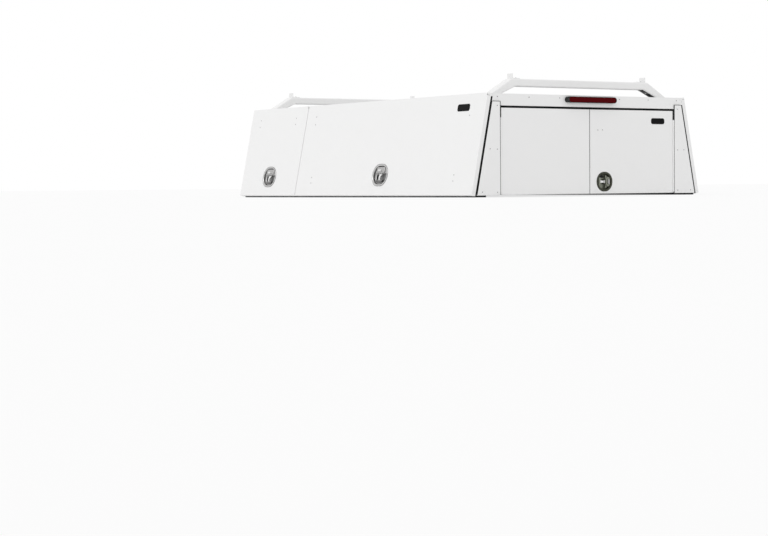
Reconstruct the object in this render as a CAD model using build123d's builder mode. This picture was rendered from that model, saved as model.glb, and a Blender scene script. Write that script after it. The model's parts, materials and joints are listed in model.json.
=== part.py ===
from build123d import *

import os
from math import atan2, cos, sin

os.makedirs("parts", exist_ok=True)

# Pickup truck canopy in folded aluminium sheet: a hollow box with leaning sides, four top-hinged
# side doors, a pair of rear doors, a brake light and two roof racks. Millimetres, +X to the
# canopy's right, +Y towards the cab, +Z up. The origin is at the middle of its footprint, on the
# underside of the base seal.

# Driving dimensions
canopy_length = 2545.0
roof_half_width = 682.0
side_spread = 114.0
body_height = 555.0
base_seal_height = 10.0
sheet = 2.0
moving_gap = 5.0
door_seal_height = 7.0
rear_seal_height = 4.0
door_seal_width = 14.0
door_depth = 25.0
door_bottom = -6.0
front_door_length = 690.0
stiffener_width = 32.0
rear_door_bars = (0.27, 0.73)
bend_radius = 3.0

# Base, posts and rails
base_flange_width = 66.0
base_flange_thickness = 3.0
base_web_height = 45.0
base_bolt_radius = 4.5
base_bolt_inset = 28.0
seal_hole_clearance = 1.0
base_bolt_end = 260.0
rail_thickness = 3.0
rail_web_depth = 58.0
rail_flange_width = 42.0
post_depth = 38.0
centre_post_width = 60.0
centre_post_depth = 30.0
front_return = 40.0
roof_bow_width = 50.0
roof_bow_depth = 25.0

# Side door hinge: a bead on the door turning in a socket on the roof rail
bead_radius = 4.0
running_clearance = 0.1
socket_wall = 2.4
bead_end_gap = 2.0
flap_clearance = 1.0
flap_rise = 5.0
neck_thickness = 2.0
neck_clearance = 0.6
hinge_drop = 9.0
neck_length = 9.0

# Rear doors and their surround
header_depth = 64.8
header_gap = 12.4
rear_door_bottom = 2.0
post_top_width = 46.0
hinge_gap = 7.5
jamb_width = 23.0
cover_drop = 42.0
cover_proud = 5.0
cover_side_line = 3.5
cover_top_line = 2.0
hinge_drop_rear = 65.2
hinge_bottom = 8.0
knuckle_count = 10
knuckle_radius = 3.6
knuckle_proud = 2.0
knuckle_end_gap = 0.3
hinge_pin_radius = 1.6
hinge_pin_clearance = 0.05
leaf_thickness = 1.5
leaf_width = 24.0

# Locks
lock_height = 115.0
side_lock_size = (158.0, 129.0, 63.5)
rear_lock_size = (109.0, 114.0, 53.0)
lock_rim = 11.0
lock_edge_radius = 1.4
lock_proud = 2.0
lock_dish_depth = 20.0
lock_wall = 2.0
lock_hole_clearance = 0.5
lock_boss_share = 0.52
lock_boss_from = 12.5
lock_boss_margin = 15.0
lock_boss_corner = 14.0
lock_boss_top = 3.0
lock_pivot_rise = 4.0
lock_pivot_depth = 8.5
lock_pin_radius = 2.5
lug_width = 5.0
lug_length = 14.0
lug_clearance = 0.6
case_width = 56.0
case_length = 84.0
case_depth = 18.0
rear_lock_x = 106.0
rear_lock_z = 70.0
grip_stem_width = 16.0
grip_length = 44.0
grip_bar_width = 50.0
grip_bar_height = 16.0
grip_thickness = 9.0
grip_corner = 7.5
grip_eye_extra = 3.5

# Brake light
lamp_length = 362.0
lamp_height = 33.5
lamp_depth = 24.0
lamp_drop = 25.0
lamp_edge_radius = 1.5
lamp_lens_length = 343.0
lamp_lens_height = 29.5
lamp_lens_shift = 4.5
lamp_lens_seat = 12.0

# Roof racks
rack_width = 63.0
rack_wall = 3.0
rack_bend_radius = 7.0
rack_rear_setback = 72.0
rack_front_setback = 54.0
rack_height = 88.0
rack_bar_depth = 42.0
rack_foot_inset = 43.0
rack_foot_length = 75.0
rack_leg_run_outer = 139.0
rack_leg_run_inner = 94.0
rack_lip = 10.0
rack_foot_plate = 5.0
stop_height = 29.0
stop_inset = 12.0
stop_length = 54.0
stop_width = 46.0
stop_thickness = 4.0

# Values worked out from the driving dimensions
base_half_width = roof_half_width + side_spread
lean = atan2(side_spread, body_height)
base_z = base_seal_height
roof_z = base_z + body_height
rear_y = (lamp_depth - canopy_length) / 2
front_y = rear_y + canopy_length
door_seat = door_seal_height + moving_gap
door_face = door_seat + door_depth
slant_length = body_height / cos(lean)
rail_underside = roof_z - sheet - rail_thickness
hinge_t = slant_length - hinge_drop
socket_inner = bead_radius + running_clearance
socket_outer = socket_inner + socket_wall
hinge_n = door_face - sheet - flap_clearance - socket_outer
door_top = hinge_t - neck_length
rail_flange_inner = roof_half_width - rail_flange_width
post_inner = roof_half_width - post_top_width
rear_door_half_width = post_inner - hinge_gap
header_bottom = body_height - header_depth
rear_door_top = header_bottom - header_gap
hinge_top = header_bottom - hinge_drop_rear
cover_top = body_height - cover_drop
lamp_centre_height = body_height - lamp_drop
base_bolt_x = base_half_width - base_bolt_inset
base_bolt_y = (rear_y + base_bolt_end, front_y - base_bolt_end)
rack_rear_y = rear_y + rack_rear_setback
rack_front_y = front_y - rack_front_setback - rack_width
rack_top = roof_z + rack_height
rack_foot_outer = roof_half_width - rack_foot_inset
rack_foot_inner = rack_foot_outer - rack_foot_length
rack_half_top = rack_foot_outer - rack_leg_run_outer
rack_half_bottom = rack_foot_inner - rack_leg_run_inner
split_y = front_y - front_door_length
side_doors = {
    "rear": (rear_y, split_y - moving_gap / 2),
    "front": (split_y + moving_gap / 2, front_y),
}

# Right side of the canopy: local x runs forward, y runs up the slope, z points outwards
side = Plane(origin=(base_half_width, 0, base_z), x_dir=(0, 1, 0), z_dir=(cos(lean), 0, sin(lean)))

# Rear face: local x runs to the right, y runs up from the base, z points rearwards
rear = Plane(origin=(0, rear_y, base_z), x_dir=(1, 0, 0), z_dir=(0, -1, 0))


def on_side(t, n):
    """Point in X and Z at t up the right side's slope and n out from it."""
    return (
        base_half_width - t * sin(lean) + n * cos(lean),
        base_z + t * cos(lean) + n * sin(lean),
    )


def side_x(z, n=0.0):
    """Half width of the side plane, moved out by n, at height z over the base."""
    return base_half_width - z * side_spread / body_height + n / cos(lean)


def section(y):
    """Plane for a profile in X and Z whose extrusion runs rearwards from y."""
    return Plane(origin=(0, y, 0), x_dir=(1, 0, 0), z_dir=(0, -1, 0))


def slab(plane, x_range, y_range, z_range, mode=Mode.ADD):
    """Block between two values on each axis of a plane."""
    low = [min(pair) for pair in (x_range, y_range, z_range)]
    size = [max(pair) - min(pair) for pair in (x_range, y_range, z_range)]
    middle = [a + b / 2 for a, b in zip(low, size)]
    with Locations(plane.location * Location(tuple(middle))):
        Box(*size, mode=mode)


def at(plane, x, y):
    """The same plane with its origin moved along its own x and y."""
    origin = plane.from_local_coords((x, y, 0))
    return Plane(origin=origin, x_dir=plane.x_dir, z_dir=plane.z_dir)


def mirrored(part):
    """The same piece on the other side of the canopy."""
    with BuildPart() as other:
        mirror(part, about=Plane.YZ)
    return other.part


def save(part, name):
    """Label a piece and write it."""
    part.label = name
    export_step(part, f"parts/{name}.step")


def save_pair(part, name):
    """Write a right-hand piece and its left-hand twin; the name holds a {} for the side."""
    save(mirrored(part), name.format("left"))
    save(part, name.format("right"))


def roof_sheet():
    """Flat roof between the two hinge sockets."""
    edge = on_side(hinge_t, hinge_n)[0] - socket_outer
    with BuildPart() as roof:
        slab(Plane.XY, (-edge, edge), (rear_y + sheet, front_y - sheet), (roof_z - sheet, roof_z))
    return roof.part


def roof_rail():
    """Right top rail: a flange under the roof, a web on the side and the capped hinge socket."""
    axis_x, axis_z = on_side(hinge_t, hinge_n)
    web = [
        on_side(slant_length - rail_web_depth, -rail_thickness),
        on_side(slant_length - rail_web_depth, 0),
        (side_x(rail_underside - base_z), rail_underside),
        (side_x(rail_underside - base_z, -rail_thickness), rail_underside),
    ]
    reach = 2 * socket_outer
    near = neck_thickness / 2 + neck_clearance
    mouth = [
        on_side(hinge_t + near, hinge_n - near),
        on_side(hinge_t + near, hinge_n + reach),
        on_side(hinge_t - reach, hinge_n + reach),
        on_side(hinge_t - reach, hinge_n - near),
    ]
    length = canopy_length - 2 * sheet
    with BuildPart() as rail:
        with BuildSketch(section(front_y - sheet)):
            with Locations(((rail_flange_inner + axis_x) / 2, rail_underside + rail_thickness / 2)):
                Rectangle(axis_x - rail_flange_inner, rail_thickness)
            with Locations((axis_x, axis_z)):
                Circle(socket_outer)
                Circle(socket_inner, mode=Mode.SUBTRACT)
            with BuildLine():
                Polyline(*mouth, close=True)
            make_face(mode=Mode.SUBTRACT)
        extrude(amount=length)
        for end in (rear_y + sheet, front_y):
            with BuildSketch(section(end)):
                with Locations((axis_x, axis_z)):
                    Circle(socket_outer)
            extrude(amount=sheet)
        with BuildSketch(section(front_y - front_return)):
            with BuildLine():
                Polyline(*web, close=True)
            make_face()
        extrude(amount=canopy_length - front_return - post_depth)
    return rail.part


def base_rail():
    """Right base rail: a flange that rests on the bed side and a web up the slope."""
    outer = side_x(0)
    with BuildPart() as rail:
        with BuildSketch(section(front_y - sheet)):
            with BuildLine():
                Polyline(
                    (outer - base_flange_width, base_z),
                    (outer, base_z),
                    (side_x(base_flange_thickness), base_z + base_flange_thickness),
                    (outer - base_flange_width, base_z + base_flange_thickness),
                    close=True,
                )
            make_face()
        extrude(amount=canopy_length - 2 * sheet)
        with BuildSketch(section(front_y - front_return)):
            with BuildLine():
                Polyline(
                    (side_x(base_flange_thickness), base_z + base_flange_thickness),
                    on_side(base_web_height, 0),
                    on_side(base_web_height, -sheet),
                    (side_x(base_flange_thickness, -sheet), base_z + base_flange_thickness),
                    close=True,
                )
            make_face()
        extrude(amount=canopy_length - front_return - post_depth)
        with Locations(*[(base_bolt_x, y, base_z + base_flange_thickness) for y in base_bolt_y]):
            Hole(base_bolt_radius)
    return rail.part


def front_base_rail():
    """Angle across the foot of the front wall, between the two side rails."""
    half = side_x(0) - base_flange_width
    back = front_y - sheet
    with BuildPart() as rail:
        slab(
            Plane.XY,
            (-half, half),
            (back - base_flange_width, back),
            (base_z, base_z + base_flange_thickness),
        )
        slab(
            Plane.XY,
            (-half, half),
            (back - sheet, back),
            (base_z + base_flange_thickness, base_z + base_web_height),
        )
    return rail.part


def base_seal():
    """Foam strip under the side and front base flanges."""
    outer = side_x(0) - bend_radius
    inner = side_x(0) - base_flange_width + bend_radius
    length = canopy_length - 2 * sheet
    with BuildPart() as seal:
        slab(Plane.XY, (-outer, outer), (front_y - sheet - length, front_y - sheet), (0, base_z))
        slab(
            Plane.XY,
            (-inner, inner),
            (rear_y, front_y - base_flange_width),
            (0, base_z),
            mode=Mode.SUBTRACT,
        )
        with Locations(*[(s * base_bolt_x, y, base_z) for s in (-1, 1) for y in base_bolt_y]):
            Hole(base_bolt_radius + seal_hole_clearance)
    return seal.part


def trapezoid(y, bottom, top, inner, inset=0.0):
    """Sketch between the vertical line x = inner and the right side plane, from bottom to top."""
    with BuildSketch(section(y)) as outline:
        with BuildLine():
            Polyline(
                (inner, base_z + bottom),
                (side_x(bottom, -inset), base_z + bottom),
                (side_x(top, -inset), base_z + top),
                (inner, base_z + top),
                close=True,
            )
        make_face()
    return outline.sketch


def front_wall():
    """Plain wall behind the cab with its edges folded back along the sides."""
    low = base_flange_thickness
    high = rail_underside - base_z
    with BuildPart() as wall:
        with BuildSketch(section(front_y)):
            with BuildLine():
                Polyline(
                    (-side_x(0), base_z),
                    (side_x(0), base_z),
                    (side_x(body_height), roof_z),
                    (-side_x(body_height), roof_z),
                    close=True,
                )
            make_face()
        extrude(amount=sheet)
        for mark in (1, -1):
            with BuildSketch(section(front_y - sheet)):
                with BuildLine():
                    Polyline(
                        (mark * side_x(low), base_z + low),
                        (mark * side_x(high), base_z + high),
                        (mark * side_x(high, -sheet), base_z + high),
                        (mark * side_x(low, -sheet), base_z + low),
                        close=True,
                    )
                make_face()
            extrude(amount=front_return - sheet)
    return wall.part


def centre_post():
    """Right post between the side doors: a channel with its back to the doors."""
    bottom = base_web_height
    top = slant_length - rail_web_depth
    half = centre_post_width / 2
    with BuildPart() as post:
        slab(side, (split_y - half, split_y + half), (bottom, top), (-centre_post_depth, 0))
        slab(
            side,
            (split_y - half + sheet, split_y + half - sheet),
            (bottom, top),
            (-centre_post_depth, -sheet),
            mode=Mode.SUBTRACT,
        )
    return post.part


def rear_post():
    """Right rear post: a tapered hollow section with a jamb that carries the door seal."""
    low = base_flange_thickness
    high = rail_underside - base_z
    with BuildPart() as post:
        extrude(
            trapezoid(rear_y + post_depth, low, high, post_inner), amount=post_depth - sheet
        )
        extrude(
            trapezoid(rear_y + post_depth - sheet, low, high, post_inner + sheet, sheet),
            amount=post_depth - 2 * sheet,
            mode=Mode.SUBTRACT,
        )
        slab(
            Plane.XY,
            (post_inner - jamb_width, post_inner),
            (rear_y + post_depth - sheet, rear_y + post_depth),
            (base_z + low, base_z + header_bottom),
        )
    return post.part


def post_cover():
    """Right rear cover over the post: a shallow pan that stands proud of the doors and header."""
    inner = post_inner + cover_side_line
    top = cover_top - cover_top_line
    back = rear_y + sheet
    with BuildPart() as cover:
        extrude(trapezoid(back, 0, top, inner), amount=sheet + cover_proud)
        fillet(cover.faces().sort_by(Axis.Y)[0].edges(), sheet)
        hollow = trapezoid(back, sheet, top - sheet, inner + sheet, sheet)
        extrude(hollow, amount=cover_proud, mode=Mode.SUBTRACT)
    return cover.part


def rear_header():
    """Folded beam over the rear doors: face, underside and a jamb for the seal."""
    with BuildPart() as header:
        with BuildSketch(rear):
            with BuildLine():
                Polyline(
                    (-post_inner, header_bottom),
                    (post_inner, header_bottom),
                    (post_inner, cover_top),
                    (side_x(cover_top), cover_top),
                    (side_x(body_height), body_height),
                    (-side_x(body_height), body_height),
                    (-side_x(cover_top), cover_top),
                    (-post_inner, cover_top),
                    close=True,
                )
            make_face()
        extrude(amount=-sheet)
        slab(
            rear,
            (-post_inner, post_inner),
            (header_bottom, header_bottom + sheet),
            (-post_depth, -sheet),
        )
        slab(
            rear,
            (-post_inner, post_inner),
            (header_bottom - jamb_width, header_bottom + sheet),
            (-post_depth - sheet, -post_depth),
        )
    return header.part


def roof_bows():
    """Hat sections under the roof sheet, one beneath each rack and one between them."""
    middles = [start + rack_width / 2 for start in (rack_rear_y, rack_front_y)]
    middles.insert(1, sum(middles) / 2)
    top = roof_z - sheet
    with BuildPart() as bows:
        for y in middles:
            slab(
                Plane.XY,
                (-rail_flange_inner, rail_flange_inner),
                (y - roof_bow_width / 2, y + roof_bow_width / 2),
                (top - roof_bow_depth, top),
            )
            slab(
                Plane.XY,
                (-rail_flange_inner, rail_flange_inner),
                (y - roof_bow_width / 2 + sheet, y + roof_bow_width / 2 - sheet),
                (top - roof_bow_depth + sheet, top),
                mode=Mode.SUBTRACT,
            )
    return bows.part


def side_seal():
    """Right side's two rubber loops that the doors close against."""
    top = slant_length - rail_web_depth + 2 * door_seal_width
    bottom = sheet + base_flange_thickness
    with BuildPart() as seal:
        for low, high in side_doors.values():
            ends = (low + sheet, high - sheet)
            slab(side, ends, (bottom, top), (0, door_seal_height))
            slab(
                side,
                (ends[0] + door_seal_width, ends[1] - door_seal_width),
                (bottom + door_seal_width, top - door_seal_width),
                (0, door_seal_height),
                mode=Mode.SUBTRACT,
            )
    return seal.part


def rear_seal():
    """Rubber strip on the jambs beside and above the rear doors."""
    half = post_inner
    seat = post_depth - sheet - rear_seal_height
    with BuildPart() as seal:
        slab(
            rear,
            (-half + knuckle_radius, half - knuckle_radius),
            (base_flange_thickness, header_bottom),
            (-seat - rear_seal_height, -seat),
        )
        slab(
            rear,
            (-half + jamb_width, half - jamb_width),
            (base_flange_thickness, header_bottom - jamb_width),
            (-seat - rear_seal_height, -seat),
            mode=Mode.SUBTRACT,
        )
    return seal.part


def door_skin(seat, x_range, y_range, flap=0.0, lock_face=None, lock_size=None):
    """Outer pan of a door, which is open at the top where its face goes on up as a flap."""
    x_low, x_high = x_range
    y_low, y_high = y_range
    top_wall = 0.0 if flap else sheet
    with BuildPart() as skin:
        slab(seat, x_range, y_range, (0, door_depth))
        outward = Axis(seat.origin, seat.z_dir)
        upward = Axis(seat.origin, seat.y_dir)
        rim = skin.faces().sort_by(outward)[-1].edges()
        folds = rim - rim.sort_by(upward)[-1:] if flap else rim
        fillet(folds, radius=bend_radius)
        slab(
            seat,
            (x_low + sheet, x_high - sheet),
            (y_low + sheet, y_high - top_wall),
            (0, door_depth - sheet),
            mode=Mode.SUBTRACT,
        )
        if flap:
            slab(
                seat,
                (x_low + bend_radius, x_high - bend_radius),
                (y_high - bend_radius, y_high + flap),
                (door_depth - sheet, door_depth),
            )
        if lock_face:
            with BuildSketch(lock_face) as cutout:
                RectangleRounded(*lock_bowl(lock_size, lock_hole_clearance))
            extrude(cutout.sketch, amount=-door_depth, mode=Mode.SUBTRACT)
    return skin.part


def lock_bowl(size, extra=0.0):
    """Width, length and corner radius of a lock's bowl, made wider all round by extra."""
    inset = lock_rim - lock_wall - extra
    width, length, corner = size
    return width - 2 * inset, length - 2 * inset, corner - inset


def door_frame(seat, x_range, y_range, bars=(), bead=False, lock_face=None):
    """Stiffening channels inside a door, open towards the skin; bars are cross-bar middles."""
    x_low, x_high = x_range[0] + sheet, x_range[1] - sheet
    y_low = y_range[0] + sheet
    y_high = y_range[1] - (0.0 if bead else sheet)
    depth = door_depth - sheet
    wide = stiffener_width
    with BuildPart() as frame:
        slab(seat, (x_low, x_high), (y_low, y_high), (0, depth))
        edges = [x_low + wide] + [v for m in bars for v in (m - wide / 2, m + wide / 2)]
        edges.append(x_high - wide)
        for left, right in zip(edges[::2], edges[1::2]):
            slab(seat, (left, right), (y_low + wide, y_high - wide), (0, depth), Mode.SUBTRACT)
        for y_from in (y_low, y_high - wide):
            slab(
                seat,
                (x_low + sheet, x_high - sheet),
                (y_from + sheet, y_from + wide - sheet),
                (sheet, depth),
                Mode.SUBTRACT,
            )
        for middle in (x_low + wide / 2, *bars, x_high - wide / 2):
            slab(
                seat,
                (middle - wide / 2 + sheet, middle + wide / 2 - sheet),
                (y_low + sheet, y_high - sheet),
                (sheet, depth),
                Mode.SUBTRACT,
            )
        if lock_face:
            with BuildSketch(lock_face) as notch:
                RectangleRounded(*lock_bowl(rear_lock_size, lock_wall))
            extrude(notch.sketch, amount=-2 * door_depth, mode=Mode.SUBTRACT)
        if bead:
            add(hinge_bead(x_range))
    return frame.part


def hinge_bead(y_range):
    """Neck and round bead along the top of a right side door."""
    end = sheet + bead_end_gap
    low, high = y_range[0] + end, y_range[1] - end
    with BuildPart() as strip:
        slab(
            side,
            (low, high),
            (door_top - sheet, hinge_t),
            (hinge_n - neck_thickness / 2, hinge_n + neck_thickness / 2),
        )
        with BuildSketch(section(high)):
            with Locations(on_side(hinge_t, hinge_n)):
                Circle(bead_radius)
        extrude(amount=high - low)
    return strip.part


def lock_body(face, size):
    """Lock with its rim, bowl, key boss, pivot lugs and the case behind; face lies on the skin."""
    recess = lock_bowl(size, -lock_wall)
    floor = -lock_dish_depth
    lug_inner = grip_stem_width / 2 + lug_clearance
    pivot = face.location * Location((0, lock_pivot_rise, -lock_pivot_depth))
    boss_to = size[1] / 2 - lock_boss_margin
    with BuildPart() as lock:
        with BuildSketch(face):
            RectangleRounded(*size)
        extrude(amount=lock_proud)
        fillet(lock.faces().sort_by(Axis(face.origin, face.z_dir))[-1].edges(), lock_edge_radius)
        with BuildSketch(face):
            RectangleRounded(*lock_bowl(size))
        extrude(amount=floor - lock_wall)
        with BuildSketch(face.offset(floor)):
            RectangleRounded(*recess)
        extrude(amount=lock_proud - floor, mode=Mode.SUBTRACT)
        with BuildSketch(face.offset(floor)):
            with Locations((0, (lock_boss_from + boss_to) / 2)):
                width = size[0] * lock_boss_share
                RectangleRounded(width, boss_to - lock_boss_from, lock_boss_corner)
        extrude(amount=-floor - lock_boss_top)
        for mark in (-1, 1):
            slab(
                face,
                (mark * lug_inner, mark * (lug_inner + lug_width)),
                (lock_pivot_rise - lug_length / 2, lock_pivot_rise + lug_length / 2),
                (floor, -lock_boss_top),
            )
        with Locations(pivot * Location((0, 0, 0), (0, 90, 0))):
            Cylinder(lock_pin_radius, 2 * lug_inner + lug_width)
        slab(
            face,
            (-case_width / 2, case_width / 2),
            (-case_length / 2, case_length / 2),
            (floor - lock_wall - case_depth, floor - lock_wall),
        )
    return lock.part


def lock_grip(face):
    """Folding T-shaped grip that lies in the lock's bowl."""
    end_radius = lock_pin_radius + grip_eye_extra
    top = -lock_pivot_depth + grip_thickness / 2
    pivot = face.location * Location((0, lock_pivot_rise, -lock_pivot_depth), (0, 90, 0))
    bar_middle = lock_pivot_rise - grip_length + grip_bar_height / 2
    with BuildPart() as grip:
        with BuildSketch(face.offset(top)):
            with Locations((0, lock_pivot_rise - (grip_length - grip_bar_height / 2) / 2)):
                Rectangle(grip_stem_width, grip_length - grip_bar_height / 2)
            with Locations((0, bar_middle)):
                RectangleRounded(grip_bar_width, grip_bar_height, grip_corner)
        extrude(amount=-grip_thickness)
        with Locations(pivot):
            Cylinder(end_radius, grip_stem_width)
            Cylinder(lock_pin_radius + running_clearance / 2, grip_stem_width, mode=Mode.SUBTRACT)
    return grip.part


def knuckle_spans(first):
    """Heights of every second knuckle of a rear hinge."""
    pitch = (hinge_top - hinge_bottom) / knuckle_count
    for index in range(first, knuckle_count, 2):
        low = hinge_bottom + index * pitch
        yield low, low + pitch - knuckle_end_gap


def rear_hinge(fixed):
    """One half of the right rear door's long hinge; the fixed half carries the pin."""
    axis_x = (rear_door_half_width + post_inner) / 2
    if fixed:
        leaf = (post_inner - leaf_thickness, post_inner)
    else:
        leaf = (rear_door_half_width, rear_door_half_width + leaf_thickness)
    with BuildPart() as hinge:
        slab(rear, leaf, (hinge_bottom, hinge_top), (-leaf_width, knuckle_proud))
        for low, high in knuckle_spans(0 if fixed else 1):
            with BuildSketch(Plane.XY.offset(base_z + low)) as knuckle:
                with Locations((axis_x, rear_y - knuckle_proud)):
                    Circle(knuckle_radius)
            extrude(knuckle.sketch, amount=high - low)
        for low, high in knuckle_spans(1 if fixed else 0):
            gap = knuckle_end_gap
            with BuildSketch(Plane.XY.offset(base_z + low - gap)) as room:
                with Locations((axis_x, rear_y - knuckle_proud)):
                    Circle(knuckle_radius + gap)
            extrude(room.sketch, amount=high - low + 2 * gap, mode=Mode.SUBTRACT)
        bore = hinge_pin_radius + (0 if fixed else hinge_pin_clearance)
        with BuildSketch(Plane.XY.offset(base_z + hinge_bottom)) as pin:
            with Locations((axis_x, rear_y - knuckle_proud)):
                Circle(bore)
        extrude(
            pin.sketch,
            amount=hinge_top - hinge_bottom,
            mode=Mode.ADD if fixed else Mode.SUBTRACT,
        )
    return hinge.part


def stadium(plane, length, height, depth):
    """Bar with round ends standing out of a plane."""
    with BuildPart() as bar:
        with BuildSketch(plane):
            SlotOverall(length, height)
        extrude(amount=depth)
    return bar.part


def brake_light():
    """Lamp housing and the lens let into its face."""
    middle = at(rear, 0, lamp_centre_height)
    seat = at(rear, lamp_lens_shift, lamp_centre_height).offset(lamp_lens_seat)
    with BuildPart() as housing:
        with BuildSketch(middle):
            SlotOverall(lamp_length, lamp_height)
        extrude(amount=lamp_depth)
        fillet(housing.faces().sort_by(Axis.Y)[0].edges(), lamp_edge_radius)
        with BuildSketch(seat):
            SlotOverall(lamp_lens_length, lamp_lens_height)
        extrude(amount=lamp_depth, mode=Mode.SUBTRACT)
    lens = stadium(seat, lamp_lens_length, lamp_lens_height, lamp_depth - lamp_lens_seat)
    return housing.part, lens


def rack_outline(y, low, high):
    """Rack profile in X and Z, moved in by low at its underside and by high at its top."""
    foot_z = roof_z + rack_foot_plate
    underside = rack_top - rack_bar_depth
    with BuildSketch(section(y)) as outline:
        with BuildLine():
            Polyline(
                (-rack_foot_outer + high, foot_z),
                (-rack_half_top + high / 2, rack_top - high),
                (rack_half_top - high / 2, rack_top - high),
                (rack_foot_outer - high, foot_z),
                (rack_foot_inner + low, foot_z),
                (rack_half_bottom + low / 2, underside + low),
                (-rack_half_bottom - low / 2, underside + low),
                (-rack_foot_inner - low, foot_z),
                close=True,
            )
        make_face()
    return outline.sketch


def rack(rear_end):
    """Folded channel bar with sloping legs and foot plates; rear_end is its rear face."""
    y = rear_end + rack_width
    above_feet = roof_z + rack_foot_plate + rack_bend_radius
    with BuildPart() as bar:
        extrude(rack_outline(y, 0, 0), amount=rack_width)
        ends = bar.faces().sort_by(Axis.Y)
        folds = ends[0].edges() + ends[-1].edges()
        fillet(folds.filter_by(lambda e: e.center().Z > above_feet), radius=rack_bend_radius)
        extrude(
            rack_outline(y - rack_wall, rack_wall, rack_wall),
            amount=rack_width - 2 * rack_wall,
            mode=Mode.SUBTRACT,
        )
        extrude(
            rack_outline(y - rack_lip, -rack_wall, rack_wall),
            amount=rack_width - 2 * rack_lip,
            mode=Mode.SUBTRACT,
        )
        for mark in (-1, 1):
            slab(
                Plane.XY,
                (mark * rack_foot_inner, mark * rack_foot_outer),
                (rear_end, y),
                (roof_z, roof_z + rack_foot_plate),
            )
    return bar.part


def ladder_stops(rear_end):
    """Angle plates on both ends of a rack's bar."""
    middle = rear_end + rack_width / 2
    outer = rack_half_top - stop_inset
    top = rack_top
    width = (middle - stop_width / 2, middle + stop_width / 2)
    with BuildPart() as stops:
        for mark in (-1, 1):
            slab(
                Plane.XY,
                (mark * (outer - stop_length), mark * outer),
                width,
                (top, top + stop_thickness),
            )
            slab(
                Plane.XY,
                (mark * (outer - stop_thickness), mark * outer),
                width,
                (top, top + stop_height),
            )
    return stops.part


housing, lens = brake_light()
for name, piece in (
    ("roof_sheet", roof_sheet()),
    ("roof_bows", roof_bows()),
    ("front_wall", front_wall()),
    ("base_rail_front", front_base_rail()),
    ("base_seal", base_seal()),
    ("rear_header", rear_header()),
    ("rear_door_seal", rear_seal()),
    ("brake_light_housing", housing),
    ("brake_light_lens", lens),
    ("rack_rear", rack(rack_rear_y)),
    ("rack_front", rack(rack_front_y)),
    ("ladder_stops_rear", ladder_stops(rack_rear_y)),
    ("ladder_stops_front", ladder_stops(rack_front_y)),
):
    save(piece, name)

for name, piece in (
    ("roof_rail_{}", roof_rail()),
    ("base_rail_{}", base_rail()),
    ("centre_post_{}", centre_post()),
    ("rear_post_{}", rear_post()),
    ("post_cover_{}", post_cover()),
    ("side_seal_{}", side_seal()),
    ("rear_hinge_{}_fixed_leaf", rear_hinge(fixed=True)),
    ("rear_door_{}_hinge_leaf", rear_hinge(fixed=False)),
):
    save_pair(piece, name)

flap = neck_length + flap_rise
for end, (low, high) in side_doors.items():
    middle = (low + high) / 2
    seat = side.offset(door_seat)
    face = at(side.offset(door_face), middle, lock_height)
    outline = ((low, high), (door_bottom, door_top))
    bars = [low + (high - low) * share for share in rear_door_bars] if end == "rear" else []
    skin = door_skin(seat, *outline, flap=flap, lock_face=face, lock_size=side_lock_size)
    save_pair(skin, f"{end}_side_door_{{}}_skin")
    frame = door_frame(seat, *outline, bars=bars, bead=True)
    save_pair(frame, f"{end}_side_door_{{}}_frame")
    save_pair(lock_body(face, side_lock_size), f"{end}_side_door_{{}}_lock")
    save_pair(lock_grip(face), f"{end}_side_door_{{}}_grip")

seat = rear.offset(-door_depth)
outline = ((moving_gap / 2, rear_door_half_width), (rear_door_bottom, rear_door_top))
lock_origin = rear.from_local_coords((rear_lock_x, rear_lock_z, 0))
face = Plane(origin=lock_origin, x_dir=(0, 0, -1), z_dir=rear.z_dir)
save(mirrored(door_skin(seat, *outline)), "rear_door_left_skin")
save(door_skin(seat, *outline, lock_face=face, lock_size=rear_lock_size), "rear_door_right_skin")
save(mirrored(door_frame(seat, *outline)), "rear_door_left_frame")
save(door_frame(seat, *outline, lock_face=face), "rear_door_right_frame")
save(lock_body(face, rear_lock_size), "rear_door_right_lock")
save(lock_grip(face), "rear_door_right_grip")
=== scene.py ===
import json
import math

import bmesh
import bpy
from mathutils import Matrix, Vector


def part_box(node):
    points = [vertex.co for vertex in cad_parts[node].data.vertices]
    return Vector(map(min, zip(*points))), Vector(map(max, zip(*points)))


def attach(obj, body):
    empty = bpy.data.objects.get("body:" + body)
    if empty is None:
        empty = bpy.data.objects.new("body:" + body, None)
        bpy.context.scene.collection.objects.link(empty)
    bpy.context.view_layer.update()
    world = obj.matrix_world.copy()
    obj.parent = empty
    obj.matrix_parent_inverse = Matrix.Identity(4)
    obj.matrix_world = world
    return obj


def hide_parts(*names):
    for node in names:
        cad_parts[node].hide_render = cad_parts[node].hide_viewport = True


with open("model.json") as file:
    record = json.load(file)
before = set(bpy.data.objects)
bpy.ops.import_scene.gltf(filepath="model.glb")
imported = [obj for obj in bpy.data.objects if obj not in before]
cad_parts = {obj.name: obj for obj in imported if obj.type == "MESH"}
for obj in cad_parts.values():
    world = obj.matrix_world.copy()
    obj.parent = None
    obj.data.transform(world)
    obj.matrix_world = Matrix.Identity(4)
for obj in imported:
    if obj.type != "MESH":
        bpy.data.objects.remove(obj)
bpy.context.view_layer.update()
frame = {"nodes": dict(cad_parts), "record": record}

# Sizes of the canopy in metres, and the places of its small parts as read off the photograph.
# Heights on a side door are measured up its slope, and lengths forward from the rear face.
BODY_HEIGHT = 0.555
BASE_HALF_WIDTH = 0.796
ROOF_HALF_WIDTH = 0.682
BASE_Z = 0.010
DOOR_SEAT = 0.012
DOOR_FACE = 0.037
DOOR_BOTTOM = -0.006
DOOR_TOP = 0.5486
COVER_PROUD = 0.005
LEAN = math.atan2(BASE_HALF_WIDTH - ROOF_HALF_WIDTH, BODY_HEIGHT)
ROOF_Z = BASE_Z + BODY_HEIGHT
REAR_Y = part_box("rear_header")[0][1]
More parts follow.
